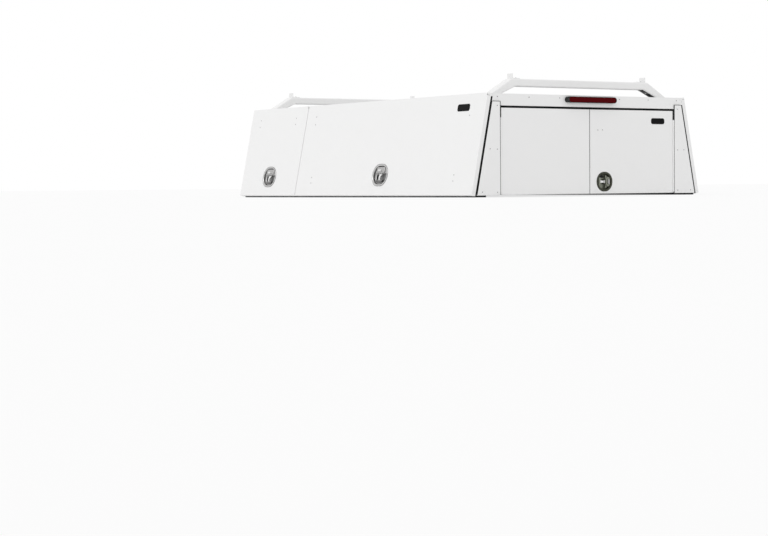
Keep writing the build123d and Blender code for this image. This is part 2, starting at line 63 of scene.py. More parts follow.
FRONT_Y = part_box("front_wall")[1][1]
SIDES = {"left": -1, "right": 1}
DOOR_ENDS = {end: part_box(f"{end}_side_door_right_skin") for end in ("rear", "front")}
DOOR_SPANS = {end: (low.y, high.y) for end, (low, high) in DOOR_ENDS.items()}

# Heads of the rivets, of the dark mandrel ends in them, painted shade of the rivets' holes, and of
# the ladder stops' screws
RIVET = {"Diameter": 0.0085, "Height": 0.0022, "Dimple": 0.0006}
MANDREL_SHADE = {"Diameter": 0.0054, "Height": 0.0005, "Dimple": 0.0}
MANDREL_SHADE_RISE = 0.0019
STOP_SCREW = {"Diameter": 0.011, "Height": 0.0035, "Dimple": 0.0016}
BOLT_ACROSS = 0.013

# Badge plates: width and height, then their places on a side door and on the rear face
BADGE_SIDE = (0.113, 0.040)
BADGE_REAR = (0.102, 0.034)
BADGE_SIDE_AT = (0.199, 0.4935)
BADGE_REAR_AT = (0.511, 0.417)

# Locks: width, length and corner of the pan, then what all of them share
SIDE_LOCK = (0.158, 0.129, 0.0635)
REAR_LOCK = (0.109, 0.114, 0.053)
LOCK_HEIGHT = 0.115
REAR_LOCK_X = 0.106
REAR_LOCK_Z = 0.070
HUB_SHARE = 0.52
HUB_FROM = 0.0125
HUB_MARGIN = 0.0150
HUB_CORNER = 0.0140
PIVOT_RISE = 0.004
PIVOT_DEPTH = 0.0085

# Lamp lens: pitch of its upright flutes and of its rows, its two reds, its crown, the flutes' depth
# and its grid, how far it stays inside the solid, half the height of its ends, and the angle up to
# which its edges are smoothed
LENS_FLUTE = 0.0075
LENS_ROW = 0.0085
LENS_DEEP = (0.060, 0.0, 0.001, 1)
LENS_PALE = (0.092, 0.001, 0.003, 1)
LENS_CROWN = 0.0016
LENS_RIPPLE = 0.00045
LENS_GRID = (264, 14)
LENS_INSET = 0.0002
LENS_END = 0.0008
LENS_SMOOTH = 50

# The photograph's camera, with lengths in metres and angles in degrees, for an image 768 wide
CAMERA_SPOT = (-6.7648, -9.2732, 0.07)
CAMERA_YAW = 33.7737
CAMERA_PITCH = -2.5687
CAMERA_ROLL = -0.5105
FOCAL_PIXELS = 1842.44
IMAGE_WIDTH = 768
SENSOR = 36.0

# Strength of the surroundings and the key light, where the key stands, and the floor: its half
# width and how much of it the camera sees as plain white
ROOM_LIGHT = 0.85
KEY_LIGHT = 0.675
KEY_ANGLE = 35
KEY_FROM = (-1.0, -0.35, 1.0)
FLOOR_REACH = 40.0
FLOOR_WHITE = 0.7

# Colour sockets of a Mix node, whose names it repeats for each kind of data
MIX_FIRST, MIX_SECOND, MIX_RESULT = 6, 7, 2


class Wire:
    """An output of a node, with arithmetic that adds Math nodes."""

    def __init__(self, graph, socket):
        self.graph = graph
        self.socket = socket

    def out(self, name):
        return Wire(self.graph, self.socket.node.outputs[name])

    def math(self, operation, first, second=0.0):
        return self.graph.node("ShaderNodeMath", {"operation": operation}, {0: first, 1: second})

    def __add__(self, other):
        return self.math("ADD", self, other)

    def __radd__(self, other):
        return self.math("ADD", other, self)

    def __sub__(self, other):
        return self.math("SUBTRACT", self, other)

    def __rsub__(self, other):
        return self.math("SUBTRACT", other, self)

    def __mul__(self, other):
        return self.math("MULTIPLY", self, other)

    def __rmul__(self, other):
        return self.math("MULTIPLY", other, self)

    def __truediv__(self, other):
        return self.math("DIVIDE", self, other)

    def __rtruediv__(self, other):
        return self.math("DIVIDE", other, self)

    def least(self, other):
        return self.math("MINIMUM", self, other)

    def most(self, other):
        return self.math("MAXIMUM", self, other)

    def below(self, other):
        return self.math("LESS_THAN", self, other)

    def sine(self):
        return self.math("SINE", self)

    def cosine(self):
        return self.math("COSINE", self)

    def root(self):
        return self.math("SQRT", self)


class Graph:
    """A node tree and the one method that adds nodes to it, with their settings and sockets."""

    def __init__(self, tree):
        self.tree = tree

    def node(self, kind, settings=None, sockets=None, output=0):
        made = self.tree.nodes.new(kind)
        for name, value in (settings or {}).items():
            setattr(made, name, value)
        for key, value in (sockets or {}).items():
            if isinstance(value, Wire):
                self.tree.links.new(value.socket, made.inputs[key])
            else:
                made.inputs[key].default_value = value
        return Wire(self, made.outputs[output]) if made.outputs else made


class Finish(Graph):
    """A material under construction."""

    def __init__(self, name):
        self.material = bpy.data.materials.new(name)
        self.material.use_nodes = True
        super().__init__(self.material.node_tree)
        self.tree.nodes.clear()

    def place(self):
        return self.node("ShaderNodeTexCoord", output="Object")

    def noise(self, scale, detail=2.0, roughness=0.5, stretch=None):
        spot = self.place()
        if stretch:
            spot = self.node("ShaderNodeMapping", {}, {"Vector": spot, "Scale": stretch})
        sockets = {"Vector": spot, "Scale": scale, "Detail": detail, "Roughness": roughness}
        return self.node("ShaderNodeTexNoise", {}, sockets)

    def mix(self, factor, first, second):
        sockets = {"Factor": factor, MIX_FIRST: first, MIX_SECOND: second}
        return self.node("ShaderNodeMix", {"data_type": "RGBA"}, sockets, MIX_RESULT)

    def bump(self, height, strength, distance, normal=None):
        sockets = {"Height": height, "Strength": strength, "Distance": distance}
        if normal:
            sockets["Normal"] = normal
        return self.node("ShaderNodeBump", {}, sockets)

    def close(self, **sockets):
        """Shader and output; keyword names have _ for a space."""
        named = {key.replace("_", " "): value for key, value in sockets.items()}
        shader = self.node("ShaderNodeBsdfPrincipled", {}, named)
        self.node("ShaderNodeOutputMaterial", {}, {"Surface": shader})
        return self.material


def grey(level, warm=0.0):
    """Neutral colour, a little warmer or cooler."""
    return (level + warm, level, level - warm, 1.0)


def powder_coat(name, level, warm=0.0):
    """White powder coat: faint orange peel, slow waviness of the sheet and a trace of dust."""
    coat = Finish(name)
    peel = coat.noise(420.0, 3.0, 0.55)
    waves = coat.noise(2.4, 1.0, 0.4)
    dust = coat.noise(9.0, 5.0, 0.65)
    tone = coat.mix(dust * 0.5, grey(level, warm), grey(level * 0.965, warm + 0.004))
    skin = coat.bump(waves, 0.10, 0.004)
    skin = coat.bump(peel, 0.12, 0.0004, skin)
    return coat.close(
        Base_Color=tone,
        Roughness=0.30 + peel * 0.05 + dust * 0.06,
        Normal=skin,
        Coat_Weight=0.12,
        Coat_Roughness=0.18,
    )


def seal_rubber(name):
    """Black door rubber with a dry, slightly mottled face."""
    rubber = Finish(name)
    mottle = rubber.noise(160.0, 4.0, 0.6)
    bloom = rubber.noise(12.0, 3.0, 0.6)
    tone = rubber.mix(bloom, grey(0.010), grey(0.022, -0.002))
    return rubber.close(
        Base_Color=tone,
        Roughness=0.58 + mottle * 0.22,
        Normal=rubber.bump(mottle, 0.35, 0.0004),
        Specular_IOR_Level=0.2,
    )


def stainless(name, level=0.60, rough=0.16):
    """Polished stainless pressing with fine drawing marks and handling smears."""
    steel = Finish(name)
    drawn = steel.noise(900.0, 2.0, 0.5, (1.0, 1.0, 0.06))
    smear = steel.noise(38.0, 4.0, 0.6)
    tone = steel.mix(smear, grey(level), grey(level * 0.86, 0.006))
    return steel.close(
        Base_Color=tone,
        Metallic=1.0,
        Roughness=rough + smear * 0.12 + drawn * 0.06,
        Normal=steel.bump(drawn, 0.10, 0.0002),
    )


def dull_steel(name, first, second):
    """Pressed steel mottled by grime between two colours; on the locks and the rivets' mandrel ends
    the darkness of these colours is painted shade.
    """
    steel = Finish(name)
    grime_and_shade = steel.noise(60.0, 5.0, 0.65)
    return steel.close(
        Base_Color=steel.mix(grime_and_shade, first, second),
        Metallic=0.85,
        Roughness=0.30 + grime_and_shade * 0.25,
        Normal=steel.bump(grime_and_shade, 0.25, 0.0004),
    )


def dark_plastic(name, level=0.012, rough=0.28, gleam=0.15):
    """Moulded black plastic with a fine grain."""
    plastic = Finish(name)
    grain = plastic.noise(700.0, 2.0, 0.5)
    cloud = plastic.noise(25.0, 3.0, 0.6)
    tone = plastic.mix(cloud, grey(level), grey(level * 1.7, -0.0005))
    return plastic.close(
        Base_Color=tone,
        Roughness=rough + grain * 0.12,
        Normal=plastic.bump(grain, 0.18, 0.0003),
        Specular_IOR_Level=gleam,
    )


def lamp_lens(name):
    """Deep red lens with upright optic flutes under a glossy face."""
    lens = Finish(name)
    across = lens.node("ShaderNodeSeparateXYZ", {}, {0: lens.place()})
    flute = (across.out("X") * (2 * math.pi / LENS_FLUTE)).sine() * 0.5 + 0.5
    row = (across.out("Z") * (2 * math.pi / LENS_ROW)).sine() * 0.5 + 0.5
    cloud = lens.noise(30.0, 2.0, 0.5)
    tone = lens.mix(flute * 0.45 + row * 0.25 + cloud * 0.3, LENS_DEEP, LENS_PALE)
    return lens.close(
        Base_Color=tone,
        Roughness=0.16 + cloud * 0.08,
        Normal=lens.bump(row, 0.20, 0.0005),
        Specular_IOR_Level=0.03,
    )


def dress(materials):
    """Give every node of the frame its material by its slot in the record."""
    slots = {part["node"]: part["material_slot"] for part in frame["record"]["subparts"]}
    for name, node in frame["nodes"].items():
        node.data.materials.clear()
        node.data.materials.append(materials[slots[name]])


def new_piece(name, mesh, material, body):
    """Link a finished mesh as a piece of the canopy."""
    piece = bpy.data.objects.new(name, mesh)
    bpy.context.collection.objects.link(piece)
    if material:
        mesh.materials.clear()
        mesh.materials.append(material)
    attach(piece, body)
    return piece


class Spot:
    """A place on the canopy with its own axes: across, up and outwards."""

    def __init__(self, origin, across, up):
        self.origin = Vector(origin)
        self.across = Vector(across).normalized()
        self.up = Vector(up).normalized()
        self.out = self.across.cross(self.up)

    def at(self, a, b, c=0.0):
        return self.origin + self.across * a + self.up * b + self.out * c

    def moved(self, a, b, c=0.0):
        return Spot(self.at(a, b, c), self.across, self.up)


def door_face(side):
    """Outer face of a side door: across runs forward on the right and rearward on the left."""
    k = SIDES[side]
    across = (0, k, 0)
    up = (-k * math.sin(LEAN), 0, math.cos(LEAN))
    out = Vector(across).cross(Vector(up))
    origin = Vector((k * BASE_HALF_WIDTH, 0, BASE_Z)) + out * DOOR_FACE
    return Spot(origin, across, up)


def on_door(side, length, height, out=0.0):
    """Point on a side door from the length forward of the rear face and the height up the slope."""
    face = door_face(side)
    slip = DOOR_FACE * math.tan(LEAN)
    return face.at(SIDES[side] * (REAR_Y + length), height - slip, out)


def door_middle(end):
    """Middle of a side door along the canopy."""
    low, high = DOOR_SPANS[end]
    return (low + high) / 2


def rear_face(x, height, out=0.0):
    """Point on the rear face; height is over the base."""
    return Vector((x, REAR_Y - out, BASE_Z + height))


# A rivet head is a grid turned about its middle: its points round and along, where the dimple and
# the rim end on the way from the top's middle to the underside's, how deep the underside sits in
# the sheet, and the reach within which doubled points are joined
HEAD_GRID = {"Size X": 1.0, "Size Y": 1.0, "Vertices X": 17, "Vertices Y": 10}
HEAD_PIT = 0.25
HEAD_RIM = 0.8
HEAD_SUNK = 0.0002
WELD = 0.00001


def faced(g):
    """Rotation that turns a shape's Z axis to the way that each point faces."""
    kind = {"data_type": "FLOAT_VECTOR"}
    facing = g.node("GeometryNodeInputNamedAttribute", kind, {"Name": "facing"})
    return g.node("FunctionNodeAlignRotationToVector", {"axis": "Z"}, {"Vector": facing})


def rivet_tree():
    """Domed head with a dimple at every point of a mesh."""
    tree = bpy.data.node_groups.new("rivet_heads", "GeometryNodeTree")
    face = tree.interface
    face.new_socket("Points", in_out="INPUT", socket_type="NodeSocketGeometry")
    for name, value in RIVET.items():
        socket = face.new_socket(name, in_out="INPUT", socket_type="NodeSocketFloat")
        socket.default_value = value
    face.new_socket("Finish", in_out="INPUT", socket_type="NodeSocketMaterial")
    face.new_socket("Rivets", in_out="OUTPUT", socket_type="NodeSocketGeometry")
    g = Graph(tree)
    given = g.node("NodeGroupInput")
    diameter, height, dimple = given.out("Diameter"), given.out("Height"), given.out("Dimple")
    sheet = g.node("GeometryNodeMeshGrid", {}, HEAD_GRID)
    here = g.node("ShaderNodeSeparateXYZ", {}, {0: g.node("GeometryNodeInputPosition")})
    turn = (here.out("X") + 0.5) * (2 * math.pi)
    along = here.out("Y") + 0.5
    share = (along / HEAD_RIM).least((1.0 - along) / (1.0 - HEAD_RIM))
    radius = share * diameter * 0.5
    dome = (1.0 - share * share).most(0.0).root() * height
    pit = along.below(HEAD_PIT) * dimple
    lift = (dome - pit) * along.below(HEAD_RIM) - HEAD_SUNK
    x, y = radius * turn.cosine(), radius * turn.sine()
    spot = g.node("ShaderNodeCombineXYZ", {}, {"X": x, "Y": y, "Z": lift})
    head = g.node("GeometryNodeSetPosition", {}, {"Geometry": sheet, "Position": spot})
    head = g.node("GeometryNodeMergeByDistance", {}, {"Geometry": head, "Distance": WELD})
    sockets = {"Points": given.out("Points"), "Instance": head, "Rotation": faced(g)}
    placed = g.node("GeometryNodeInstanceOnPoints", {}, sockets)
    real = g.node("GeometryNodeRealizeInstances", {}, {"Geometry": placed})
    smooth = g.node("GeometryNodeSetShadeSmooth", {}, {"Geometry": real, "Shade Smooth": True})
    sockets = {"Geometry": smooth, "Material": given.out("Finish")}
    g.node("NodeGroupOutput", {}, {"Rivets": g.node("GeometryNodeSetMaterial", {}, sockets)})
    return tree


def points_mesh(name, places):
    """Mesh of loose points, each with the direction that its part faces."""
    mesh = bpy.data.meshes.new(name)
    mesh.from_pydata([tuple(spot) for spot, _ in places], [], [])
    facing = mesh.attributes.new("facing", "FLOAT_VECTOR", "POINT")
    for index, (_, out) in enumerate(places):
        facing.data[index].vector = out
    return mesh


def grown(name, places, tree, material, body, sizes=None):
    """Run a Geometry Nodes tree on points and keep the plain mesh that it makes."""
    seedbed = bpy.data.objects.new(name + "_points", points_mesh(name, places))
    bpy.context.collection.objects.link(seedbed)
    modifier = seedbed.modifiers.new("grow", "NODES")
    modifier.node_group = tree
    wanted = {"Finish": material, **(sizes or {})}
    for item in tree.interface.items_tree:
        if item.in_out == "INPUT" and item.name in wanted:
            modifier[item.identifier] = wanted[item.name]
    bpy.context.view_layer.update()
    graph = bpy.context.evaluated_depsgraph_get()
    mesh = bpy.data.meshes.new_from_object(seedbed.evaluated_get(graph), depsgraph=graph)
    bpy.data.objects.remove(seedbed)
    return new_piece(name, mesh, None, body)


# Rivets: length and height on each side door, then half width from the middle and height on the
# posts' covers and the header, and place and height on the right rear door
DOOR_RIVETS = {
    "rear": [(1.740, 0.497), (1.740, 0.448), (0.134, 0.448), (1.681, 0.115), (1.681, 0.080)]
    + [(0.191, 0.116), (0.191, 0.082)],
    "front": [(2.425, 0.497), (2.425, 0.453), (1.981, 0.498), (1.981, 0.459)],
}
POST_RIVETS = [(0.660, 0.489), (0.661, 0.252), (0.710, 0.253), (0.661, 0.017), (0.763, 0.018)]
HEADER_RIVETS = [(0.655, 0.538), (0.436, 0.538), (0.219, 0.538)]
REAR_DOOR_RIVETS = [(0.057, 0.362), (0.092, 0.363)]

# Rows on the front wall and the roof, which are guesses: distance from the edges, rivets up each
# side and pitch, then rivets on a bow, how far out they reach, where the rows on the first and last
# bow end to stay clear of the racks' feet, and a bow's width
FRONT_RIVET_INSET = 0.020
FRONT_RIVET_ROWS = 6
FRONT_RIVET_PITCH = 0.170
ROOF_RIVETS = 9
ROOF_RIVET_REACH = 0.600
ROOF_RIVET_CLEAR = 0.52
BOW_WIDTH = 0.050


def front_rivets():
    """Rows up both sides of the front wall and along its top and foot; this face is a guess."""
    ahead = Vector((0, 1, 0))
    places = []
    for i in range(FRONT_RIVET_ROWS):
        share = i / (FRONT_RIVET_ROWS - 1)
        z = FRONT_RIVET_INSET + (BODY_HEIGHT - 2 * FRONT_RIVET_INSET) * share
        half = BASE_HALF_WIDTH - z * math.tan(LEAN) - FRONT_RIVET_INSET
        places += [(Vector((k * half, FRONT_Y, BASE_Z + z)), ahead) for k in (-1, 1)]
    for z in (FRONT_RIVET_INSET, BODY_HEIGHT - FRONT_RIVET_INSET):
        half = BASE_HALF_WIDTH - z * math.tan(LEAN) - FRONT_RIVET_INSET
        count = round(2 * half / FRONT_RIVET_PITCH)
        for i in range(1, count):
            x = -half + 2 * half * i / count
            places.append((Vector((x, FRONT_Y, BASE_Z + z)), ahead))
    return places


def roof_rivets():
    """Rows that hold the roof sheet to the bows under it."""
    low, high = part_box("roof_bows")
    bow = BOW_WIDTH / 2
    middle = (low.y + high.y) / 2
    above = Vector((0, 0, 1))
    places = []
    for y in (low.y + bow, middle, high.y - bow):
        for i in range(ROOF_RIVETS):
            x = ROOF_RIVET_REACH * (2 * i / (ROOF_RIVETS - 1) - 1)
            if y == middle or abs(x) < ROOF_RIVET_CLEAR:
                places.append((Vector((x, y, ROOF_Z)), above))
    return places


def riveted(name, places, tree, paint, dark, body):
    """Painted rivets, and the mandrel ends in them, dark as painted shade of the holes."""
    grown(name, places, tree, paint, body)
    ends = [(spot + out * MANDREL_SHADE_RISE, out) for spot, out in places]
    grown(name + "_mandrel_shades", ends, tree, dark, body, MANDREL_SHADE)


def rivet_rows(tree, paint, dark):
    """Every rivet that shows, one mesh for each moving body and one for the fixed body."""
    back = Vector((0, -1, 0))
    for end in DOOR_SPANS:
        for side in SIDES:
            out = door_face(side).out
            places = [(on_door(side, y, h), out) for y, h in DOOR_RIVETS[end]]
            body = f"{end}_side_door_{side}"
            riveted(f"{body}_rivets", places, tree, paint, dark, body)
    fixed = [(rear_face(k * x, h, COVER_PROUD), back) for k in (-1, 1) for x, h in POST_RIVETS]
    fixed += [(rear_face(k * x, h), back) for k in (-1, 1) for x, h in HEADER_RIVETS]
    riveted("rear_frame_rivets", fixed, tree, paint, dark, "canopy_body")
    riveted("front_wall_rivets", front_rivets(), tree, paint, dark, "canopy_body")
    riveted("roof_rivets", roof_rivets(), tree, paint, dark, "canopy_body")
    door = [(rear_face(x, h), back) for x, h in REAR_DOOR_RIVETS]
    riveted("rear_door_right_rivets", door, tree, paint, dark, "rear_door_right")


def rounded_loop(half_width, half_height, corner, steps=8):
    """Points round a rectangle with round corners, anticlockwise."""
    points = []
    corners = ((1, 1, 0), (-1, 1, 90), (-1, -1, 180), (1, -1, 270))
    for sx, sy, start in corners:
        for i in range(steps + 1):
            angle = math.radians(start + 90 * i / steps)
            x = sx * (half_width - corner) + corner * math.cos(angle)
            y = sy * (half_height - corner) + corner * math.sin(angle)
            points.append((x, y))
    return points


def skin_loops(bm, loops, closed=False):
    """Skin a row of point loops; the ends are capped unless the row closes on itself."""
    rows = [[bm.verts.new(point) for point in loop] for loop in loops]
    pairs = list(zip(rows, rows[1:]))
    if closed:
        pairs.append((rows[-1], rows[0]))
    for low, high in pairs:
        count = len(low)
        for i in range(count):
            j = (i + 1) % count
            bm.faces.new((low[i], low[j], high[j], high[i]))
    if not closed:
        bm.faces.new(list(reversed(rows[0])))
        bm.faces.new(rows[-1])


def turned(bm, spot, profile, sides=40):
    """Turn a profile of (radius, rise) about a spot's outward axis."""
    loops = []
    for radius, rise in profile:
        angles = [2 * math.pi * i / sides for i in range(sides)]
        loops.append([spot.at(radius * math.cos(a), radius * math.sin(a), rise) for a in angles])
    skin_loops(bm, loops)


def finished(name, bm, material, body, smooth=35):
    """Turn a bmesh into a piece with its faces outwards and its soft edges smoothed."""
    bmesh.ops.recalc_face_normals(bm, faces=bm.faces)
    limit = math.radians(smooth)
    for face in bm.faces:
        face.smooth = True
    for edge in bm.edges:
        edge.smooth = edge.is_manifold and edge.calc_face_angle(0.0) < limit
    mesh = bpy.data.meshes.new(name)
    bm.to_mesh(mesh)
    bm.free()
    return new_piece(name, mesh, material, body)


# Pan of a lock from the middle of its back, round its rolled rim and down into the bowl: how far
# in from the outline, and the rise over the door's face
PAN = (
    (0.0300, -0.0220), (0.0150, -0.0216), (0.0102, -0.0180), (0.0092, -0.0100), (0.0090, 0.0000),
    (0.0000, 0.0000), (0.0000, 0.0007), (0.0005, 0.0016), (0.0014, 0.0022), (0.0028, 0.0025),
    (0.0044, 0.0024), (0.0058, 0.0018), (0.0066, 0.0010), (0.0074, 0.0009), (0.0082, 0.0013),
    (0.0092, 0.0013), (0.0100, 0.0006), (0.0104, -0.0006), (0.0107, -0.0060), (0.0112, -0.0120),
    (0.0128, -0.0166), (0.0160, -0.0190), (0.0210, -0.0199), (0.0300, -0.0200),
)
# Bowl's lining; the shelf in its upper half, where it starts over the middle, and how flat its
# outline is pressed below that; and the hub
LINING = (
    (0.0300, -0.0202), (0.0212, -0.0197), (0.0164, -0.0188), (0.0132, -0.0164), (0.0116, -0.0120),
    (0.0114, -0.0108), (0.0116, -0.0105), (0.0120, -0.0108), (0.0124, -0.0125), (0.0138, -0.0160),
    (0.0168, -0.0182), (0.0214, -0.0191), (0.0300, -0.0193),
)
SHELF = (
    (0.0162, -0.0194), (0.0162, -0.0076), (0.0168, -0.0066), (0.0184, -0.0060), (0.0290, -0.0056),
)
SHELF_FROM = 0.0115
SHELF_PRESS = 0.02
HUB = (
    (0.0, -0.0194), (0.0, -0.0030), (0.0006, -0.0012), (0.0020, 0.0002), (0.0045, 0.0013),
    (0.0080, 0.0019), (0.0120, 0.0021),
)
# Cover over the key slot: width, length and corner, place up the lock, then inset and rise
KEY_COVER = (0.0280, 0.0120, 0.0058)
KEY_HEIGHT = 0.0262
KEY_SHAPE = ((0.0, 0.0010), (0.0, 0.0092), (0.0006, 0.0103), (0.0018, 0.0110), (0.0040, 0.0112))
# Dark mottled sheet on the bowl's floor, painted shade of the recess under the grip: inset and
# rise, its gaps to the pan's sides and foot, its top, its corner
SHADE_MAT = ((0.0, -0.0194), (0.0, -0.0168), (0.0008, -0.0160), (0.0030, -0.0157))
SHADE_MAT_SIDE = 0.0240
SHADE_MAT_FOOT = 0.0215
SHADE_MAT_TOP = 0.0085
SHADE_MAT_CORNER = 0.020
# Black patch on the bowl's floor beside the stem, painted shadow of the grip: width, length and
# corner, then its middle, all for a side lock and scaled to the rear one
PAINTED_SHADOW = (0.0220, 0.0400, 0.0060)
PAINTED_SHADOW_AT = (0.0420, -0.0160)
PAINTED_SHADOW_SHAPE = ((0.0, -0.0158), (0.0, -0.0152), (0.0004, -0.0150))
# Gasket under the rim, the two lugs of the grip's pin with their inner side, thickness and length,
# the pin, and the case behind the door
GASKET_OUT = 0.0012
GASKET_RISE = 0.0012
LUG = (0.0086, 0.0050, 0.0140)
LUG_CORNER = 0.0022
LUG_SHAPE = ((0.0, -0.0201), (0.0, -0.0045), (0.0005, -0.0033), (0.0013, -0.0030))
PIN_RADIUS = 0.0025
PIN_END = 0.0022
SOFT_EDGE = 0.0006
CASE = (0.056, 0.084, 0.006)
CASE_SHAPE = ((0.0012, -0.0400), (0.0, -0.0388), (0.0, -0.0218))
# Eye of the grip: radius and place along the pin
GRIP_EYE = ((0.0050, -0.0080), (0.0060, -0.0074), (0.0060, 0.0074), (0.0050, 0.0080))
# Stem: place along the grip, rise, half width and half thickness. Bar: place along the bar, half
# height and half thickness.
GRIP_STEM = (
    (0.0030, -0.0010, 0.0070, 0.0032), (-0.0040, 0.0030, 0.0077, 0.0036),
    (-0.0110, 0.0070, 0.0074, 0.0034), (-0.0180, 0.0092, 0.0066, 0.0031),
    (-0.0240, 0.0092, 0.0064, 0.0030), (-0.0300, 0.0074, 0.0076, 0.0030),
    (-0.0350, 0.0052, 0.0100, 0.0029),
)
GRIP_BAR = (
    (-0.0248, 0.0026, 0.0014), (-0.0240, 0.0050, 0.0027), (-0.0218, 0.0068, 0.0036),
    (-0.0160, 0.0078, 0.0042), (-0.0070, 0.0080, 0.0044), (0.0070, 0.0080, 0.0044),
    (0.0160, 0.0078, 0.0042), (0.0218, 0.0068, 0.0036), (0.0240, 0.0050, 0.0027),
    (0.0248, 0.0026, 0.0014),
)
GRIP_BAR_AT = (-0.0360, 0.0046)
# Roundness of the stem, points on a corner of the locks' large and small shapes, and sides of the
# pin and the bar
STEM_ROUND = 0.8
LOCK_STEPS = 20
SMALL_STEPS = 4
PIN_SIDES = 20
BAR_SIDES = 28


def ring_loop(spot, size, inset, rise, steps):
    """Loop of points round a rounded rectangle of width, length and corner, moved in."""
    width, length, corner = size
    ring = rounded_loop(width / 2 - inset, length / 2 - inset, corner - inset, steps)
    return [spot.at(x, y, rise) for x, y in ring]


def inset_rings(bm, spot, size, profile, steps=LOCK_STEPS):
    """Skin a profile of (inset, rise) round a rounded rectangle."""
    skin_loops(bm, [ring_loop(spot, size, inset, rise, steps) for inset, rise in profile])


def slab(bm, spot, across, up, out):
    """Block between two values on each axis of a spot."""
    corners = [(across[i], up[j]) for i, j in ((0, 0), (1, 0), (1, 1), (0, 1))]
    skin_loops(bm, [[spot.at(a, b, rise) for a, b in corners] for rise in out])


def lock_pan(bm, spot, size):
    """Pan with its rolled rim, the lugs and pin of the grip, and the case behind."""
    inset_rings(bm, spot, size, PAN)
    inner, thick, long = LUG
    for mark in (-1, 1):
        lug = spot.moved(mark * (inner + thick / 2), PIVOT_RISE)
        inset_rings(bm, lug, (thick, long, LUG_CORNER), LUG_SHAPE, SMALL_STEPS)
    pin = Spot(spot.at(0, PIVOT_RISE, -PIVOT_DEPTH), spot.up, spot.out)
    end = inner + thick + PIN_END
    ends = ((PIN_RADIUS - SOFT_EDGE, -end), (PIN_RADIUS, SOFT_EDGE - end))
    mirrored = tuple((radius, -rise) for radius, rise in reversed(ends))
    turned(bm, pin, ends + mirrored, PIN_SIDES)
    inset_rings(bm, spot, CASE, CASE_SHAPE, SMALL_STEPS)


def hub_spans(size):
    """Middle and height of a lock's hub."""
    top = size[1] / 2 - HUB_MARGIN
    return (HUB_FROM + top) / 2, top - HUB_FROM


def lock_bowl(bm, spot, size):
    """Lining of the bowl, the shelf in its upper half and the crowned hub of the key."""
    inset_rings(bm, spot, size, LINING)
    width, length, corner = size
    loops = []
    for inset, rise in SHELF:
        loop = []
        low = SHELF_FROM + inset - SHELF[0][0]
        for x, y in rounded_loop(width / 2 - inset, length / 2 - inset, corner - inset, LOCK_STEPS):
            loop.append(spot.at(x, y if y > low else low + (y - low) * SHELF_PRESS, rise))
        loops.append(loop)
    skin_loops(bm, loops)
    middle, high = hub_spans(size)
    inset_rings(bm, spot.moved(0, middle), (width * HUB_SHARE, high, HUB_CORNER), HUB)


def lock_darks(bm, spot, size):
    """Gasket under the rim, and a black patch on the bowl's floor that is painted shadow of the
    grip.
    """
    low, high = -SOFT_EDGE, GASKET_OUT
    loops = []
    for out, rise in ((low, 0.0), (high, 0.0), (high, GASKET_RISE), (low, GASKET_RISE)):
        loops.append(ring_loop(spot, size, -out, rise, LOCK_STEPS))
    skin_loops(bm, loops, closed=True)
    # Black patch beside the stem on its forward side, painted shadow of the grip
    forward = 1 if spot.across.y + spot.across.z > 0 else -1
    scale = size[0] / SIDE_LOCK[0]
    middle = spot.moved(forward * PAINTED_SHADOW_AT[0] * scale, PAINTED_SHADOW_AT[1] * scale)
    slot = [measure * scale for measure in PAINTED_SHADOW]
    inset_rings(bm, middle, slot, PAINTED_SHADOW_SHAPE, SMALL_STEPS)


def lock_shade_mat(bm, spot, size):
    """Dark mottled sheet on the bowl's floor, painted shade of the recess under the grip."""
    foot = SHADE_MAT_FOOT - size[1] / 2
    shade_mat = (size[0] - 2 * SHADE_MAT_SIDE, SHADE_MAT_TOP - foot, SHADE_MAT_CORNER)
    inset_rings(bm, spot.moved(0, (SHADE_MAT_TOP + foot) / 2), shade_mat, SHADE_MAT)


def lock_key(bm, spot, size):
    """Cover over the key slot, standing on the hub; its bright steel on the side locks is painted
    highlight, its darker steel on the rear lock painted shade.
    """
    inset_rings(bm, spot.moved(0, KEY_HEIGHT), KEY_COVER, KEY_SHAPE)


def grip_middle(spot):
    """Spot on the grip's pin, with across along the pin and up along the grip."""
    return Spot(spot.at(0, PIVOT_RISE, -PIVOT_DEPTH), spot.across, spot.up)


def lock_grip(bm, spot, size):
    """Folding T grip: an eye on the pin and an arched stem."""
    middle = grip_middle(spot)
    turned(bm, Spot(middle.origin, spot.up, spot.out), GRIP_EYE, BAR_SIDES)
    loops = []
    for along, rise, half, thick in GRIP_STEM:
        here = Spot(middle.at(0, along, rise), middle.out, middle.across)
        loops.append([here.at(x, y) for x, y in rounded_loop(thick, half, thick * STEM_ROUND, 5)])
    skin_loops(bm, loops)


def lock_bar(bm, spot, size):
    """Crowned cross bar of the grip."""
    middle = grip_middle(spot)
    angles = [2 * math.pi * i / BAR_SIDES for i in range(BAR_SIDES)]
    loops = []
    for along, half, thick in GRIP_BAR:
        here = Spot(middle.at(along, *GRIP_BAR_AT), middle.up, middle.out)
        loops.append([here.at(half * math.cos(a), thick * math.sin(a)) for a in angles])
    skin_loops(bm, loops)


def lock(door, spot, size, finishes):
    """One folding-grip lock in place of its plain solids."""
    parts = (
        ("lock_pan", lock_pan, "stainless", door),
        ("lock_bowl", lock_bowl, "stainless", door),
        ("lock_shade_mat", lock_shade_mat, "stainless", door),
        ("lock_darks", lock_darks, "seal_rubber", door),
        ("lock_key", lock_key, "stainless", door),
        ("grip_handle", lock_grip, "stainless", f"{door}_grip"),
        ("grip_bar", lock_bar, "stainless", f"{door}_grip"),
    )
    for (part, build, slot, body), finish in zip(parts, finishes):
        bm = bmesh.new()
        build(bm, spot, size)
        finished(f"{door}_{part}", bm, finish, body)
    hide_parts(f"{door}_lock")
    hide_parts(f"{door}_grip")


